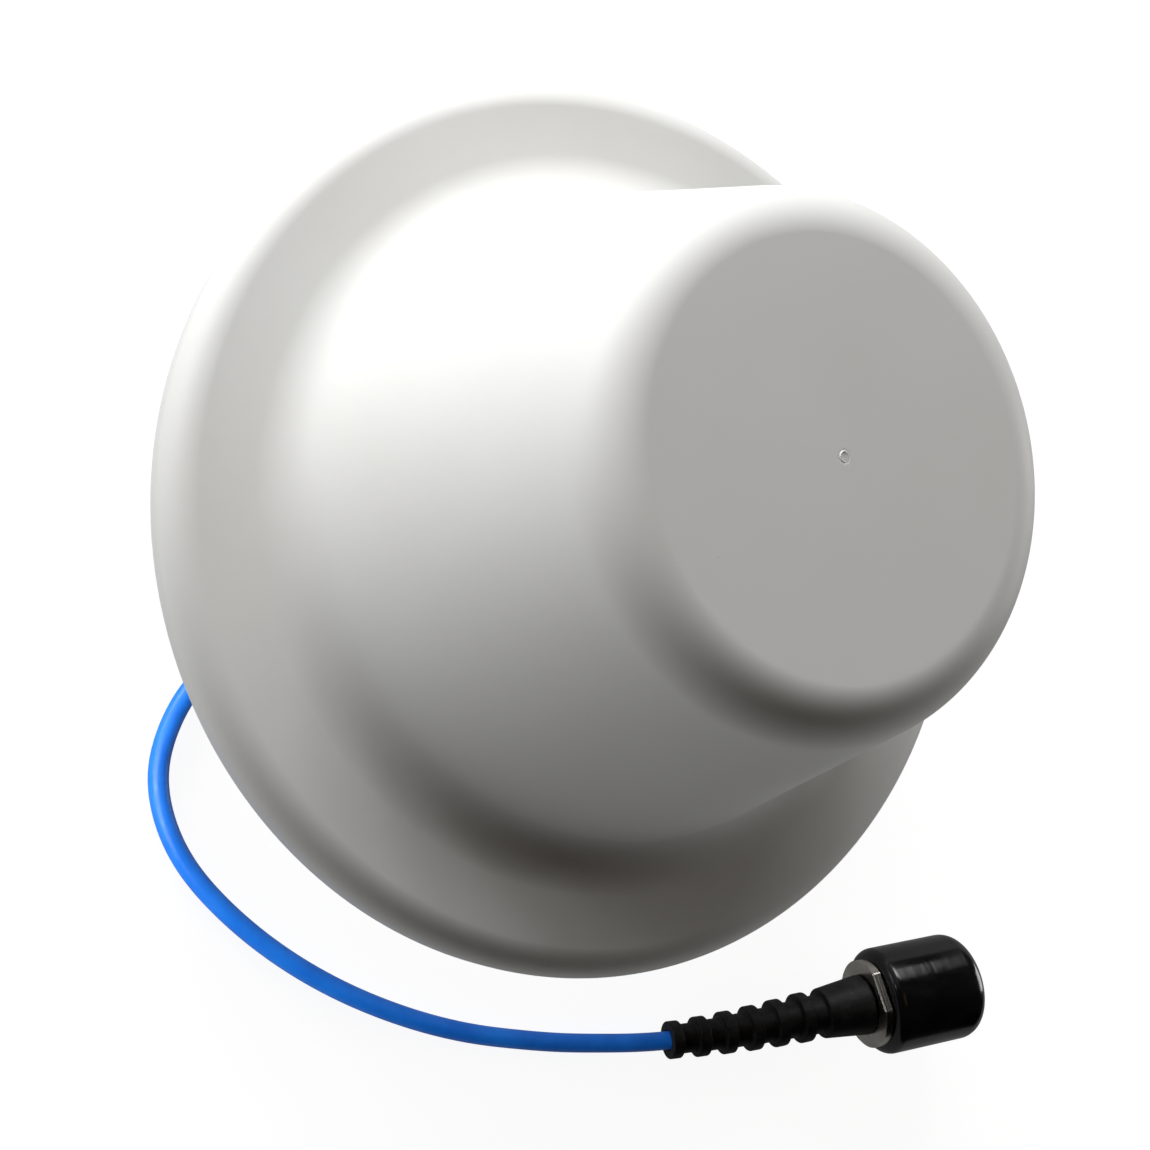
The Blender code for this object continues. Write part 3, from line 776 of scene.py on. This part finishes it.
def boot_outline():
    outer = []
    for ring in range(BOOT_RINGS):
        radius = BOOT_FIRST_R + (BOOT_LAST_R - BOOT_FIRST_R) * ring / (BOOT_RINGS - 1)
        start = BOOT_INSET + ring * BOOT_PITCH
        end = start + BOOT_RING_WIDTH
        neck = radius * BOOT_NECK_SHARE
        outer += [(radius, start), (radius, end), (neck, end), (neck, start + BOOT_PITCH)]
    outer += [(BOOT_COLLAR_R, BOOT_INSET + BOOT_RINGS * BOOT_PITCH), (BOOT_END_R, BOOT_LENGTH)]
    bore = LEAD_R + 0.12 * MM
    wide = CRIMP_R + 0.3 * MM
    return outer + [(wide, BOOT_LENGTH), (wide, CRIMP_START), (bore, CRIMP_START), (bore, BOOT_INSET)]


def bent_boot():
    """The boot, its small end bent towards local -Y."""
    boot = turned("ringed_boot", soften(boot_outline(), BOOT_SOFTNESS, 5), 128)
    for vertex in boot.data.vertices:
        offset, slope = boot_offset(vertex.co.z)
        vertex.co.z += vertex.co.y * slope
        vertex.co.y -= offset
    return boot


def barrel_thread(start, end):
    """Crests and roots of the barrel's fine thread between two heights."""
    pitch = (end - start) / BARREL_THREAD_TURNS
    made = []
    for turn in range(BARREL_THREAD_TURNS):
        base = start + turn * pitch
        made += [(BARREL_R - BARREL_THREAD_DEPTH, base), (BARREL_R, base + pitch * 0.45)]
        made.append((BARREL_R, base + pitch * 0.6))
    return made


def jack_outline():
    throat = 2.2 * MM
    edge = 0.25 * MM
    flange = [
        (FLANGE_R - edge, FLANGE_START, WRENCH_HALF - edge), (FLANGE_R, FLANGE_START + edge, WRENCH_HALF),
        (FLANGE_R, FLANGE_END - edge, WRENCH_HALF), (FLANGE_R - edge, FLANGE_END, WRENCH_HALF - edge),
    ]
    return [
        (0.0, JACK_REAR), (CRIMP_R, JACK_REAR), (CRIMP_R, FLANGE_START), *flange,
        (BARREL_R - 0.4 * MM, FLANGE_END), *barrel_thread(FLANGE_END + 2.0 * MM, BARREL_END - MM),
        (BARREL_R - BARREL_THREAD_DEPTH, BARREL_END - MM),
        (BARREL_R - MM, BARREL_END), (BARREL_BORE_R + 0.3 * MM, BARREL_END),
        (BARREL_BORE_R, BARREL_END - 0.3 * MM), (BARREL_BORE_R, BARREL_FLOOR), (throat, BARREL_FLOOR),
        (throat, FLANGE_END), (0.0, FLANGE_END),
    ]


def cap_outline():
    mouth = BARREL_R + 0.4 * MM
    hollow = mouth + MM
    lip_end = CAP_START + 4.0 * MM
    roof = BARREL_END + 2.5 * MM
    outer = arc(CAP_R - CAP_LIP_ROUND, CAP_START + CAP_LIP_ROUND, CAP_LIP_ROUND, 270, 360, 12)
    outer += arc(CAP_R - CAP_ROUND, CAP_END - CAP_ROUND, CAP_ROUND, 0, 90, 16)
    inner = [(0.0, CAP_END), (0.0, roof)]
    inner += arc(hollow - MM, roof - MM, MM, 90, 0, 6)
    inner += [(hollow, lip_end), (mouth, lip_end - 0.6 * MM), (mouth, CAP_START + 0.5 * MM)]
    inner += [(mouth + 0.5 * MM, CAP_START)]
    return outer + inner


def on_lead_end(piece):
    """Stands a piece turned about local Z on the connector's own axis."""
    turn = BOOT_AXIS.to_track_quat("Z", "X").to_matrix().to_4x4()
    piece.matrix_world = Matrix.Translation(BOOT_ORIGIN) @ turn
    return piece


def make_connector(nickel, brass, ptfe):
    rubber = matt_rubber()
    boot = on_lead_end(bent_boot())
    dress(boot, "antenna", "black_rubber", rubber, "strain_relief_boot")
    jack = on_lead_end(turned("capped_jack", jack_outline(), 288, 28.0, WRENCH_FLATS, WRENCH_PHASE))
    dress(jack, "antenna", "nickel", nickel, "jack_body")
    cap = on_lead_end(turned("vinyl_cap", cap_outline(), 128))
    dress(cap, "cap", "cap_vinyl", dipped_vinyl(), "dust_cap")
    finishes = {
        "crimp_sleeve": nickel, "jack_insulator": ptfe, "jack_contact": brass, "jack_gasket": rubber,
    }
    for node, finish in finishes.items():
        paint(node, finish)
    return [boot, jack, cap, *(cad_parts[node] for node in finishes)]


def paint(node, finish):
    """A better material on a CAD node whose own shape stays."""
    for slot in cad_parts[node].material_slots:
        slot.material = finish


# ---------------------------------------------------------------- camera, floor and light


def make_camera():
    data = bpy.data.cameras.new("camera")
    data.lens = CAMERA_LENS
    camera = bpy.data.objects.new("camera", data)
    bpy.context.scene.collection.objects.link(camera)
    lean = Matrix.Rotation(math.radians(90.0 - CAMERA_ELEVATION), 4, "X")
    roll = Matrix.Rotation(math.radians(CAMERA_ROLL), 4, "Z")
    camera.matrix_world = Matrix.Translation(CAMERA_AT) @ lean @ roll
    bpy.context.scene.camera = camera


def make_floor():
    """A pale floor that bounces and mirrors less light than the camera sees on it."""
    mesh = bmesh.new()
    bmesh.ops.create_circle(mesh, cap_ends=True, segments=96, radius=6.0)
    floor = placed("floor", mesh)
    look = Finish("pale_floor", (FLOOR_SHADE,) * 3, 0.8)
    look.rough(look.spread(look.noise(6.0), 0.3, 0.7, 0.75, 0.85))
    rays = look.node("ShaderNodeLightPath").outputs
    strength = look.spread(rays["Is Camera Ray"], 0.0, 1.0, FLOOR_BOUNCE, FLOOR_SEEN)
    mirrored = look.node("ShaderNodeMix", data_type="FLOAT")
    mirrored.inputs["B"].default_value = FLOOR_MIRRORED
    look.link(rays["Is Glossy Ray"], mirrored.inputs["Factor"])
    look.link(strength, mirrored.inputs["A"])
    look.link(mirrored.outputs["Result"], look.shader.inputs["Emission Strength"])
    look.shader.inputs["Emission Color"].default_value = (1.0, 1.0, 1.0, 1.0)
    floor.data.materials.append(look.material)


def make_panel(name, at, aim, size, power):
    data = bpy.data.lights.new(name, "AREA")
    data.size = size
    data.energy = power
    panel = bpy.data.objects.new(name, data)
    bpy.context.scene.collection.objects.link(panel)
    panel.location = at
    panel.rotation_mode = "QUATERNION"
    panel.rotation_quaternion = (aim - at).to_track_quat("-Z", "Y")
    panel.visible_camera = False
    return panel


def make_far_panel(name, azimuth, elevation, power):
    """A soft square light on a sphere around the antenna, looking at its middle."""
    middle = Vector((0.0, 0.0, PANEL_AIM_Z))
    turn, lift = math.radians(azimuth), math.radians(elevation)
    way = Vector((-math.cos(turn) * math.cos(lift), -math.sin(turn) * math.cos(lift), math.sin(lift)))
    return make_panel(name, middle + way * PANEL_DISTANCE, middle, PANEL_SIZE, power)


def make_softbox():
    """The curved softbox as a row of panels, their power falling off as a squared cosine."""
    for number in range(SOFTBOX_PANELS):
        offset = (number - (SOFTBOX_PANELS - 1) / 2) * SOFTBOX_STEP
        share = math.cos(math.radians(90.0 * offset / SOFTBOX_REACH)) ** 2
        make_far_panel(
            f"softbox_{number + 1}", SOFTBOX_MIDDLE + offset, SOFTBOX_ELEVATION + SOFTBOX_LEAN * offset,
            SOFTBOX_POWER * share)


def make_panels():
    """The softbox, a weaker fill behind and a faint warm light nearly overhead."""
    make_softbox()
    make_far_panel("fill_panel", *FILL_PANEL)
    make_far_panel("front_panel", *FRONT_PANEL).data.color = FRONT_PANEL_TINT


def make_lead_panel(lead):
    """A small soft light near the lead's outer bend that lights the lead alone."""
    panel = make_panel("lead_panel", LEAD_PANEL_AT, LEAD_PANEL_AIM, LEAD_PANEL_SIZE, LEAD_PANEL_POWER)
    lit = bpy.data.collections.new("lit_by_lead_panel")
    lit.objects.link(lead)
    panel.light_linking.receiver_collection = lit


def make_backdrop():
    """A white backdrop for the camera that lights nothing."""
    world = bpy.data.worlds.new("studio")
    world.use_nodes = True
    tree = world.node_tree
    rays = tree.nodes.new("ShaderNodeLightPath")
    background = tree.nodes["Background"]
    background.inputs["Color"].default_value = (1.0, 1.0, 1.0, 1.0)
    tree.links.new(rays.outputs["Is Camera Ray"], background.inputs["Strength"])
    bpy.context.scene.world = world
    bpy.context.scene.view_settings.view_transform = "Standard"


# ---------------------------------------------------------------- the whole antenna

make_camera()
lead = make_lead()
nickel = plated_nickel()
brass = bare_brass()
ptfe = waxy_ptfe()
white = stem_plastic()
aluminium = sheet_aluminium()
steel = zinc_steel()
on_lead = make_connector(nickel, brass, ptfe)
make_radome()
make_base_plate(aluminium)
make_screws("base_screw", 6, True, steel)
make_screws("stem_screw", 4, False, steel)
make_stem(white)
make_washer(steel)
make_nut(white)
posts = [f"shorting_post_{number}" for number in range(1, 4)]
for node in ("feed_ferrule", "feed_pin", "radiator_cone", *posts):
    paint(node, brass)
paint("cone_insulator", ptfe)
paint("top_disc", aluminium)
make_floor()
make_panels()
make_lead_panel(lead)
make_backdrop()
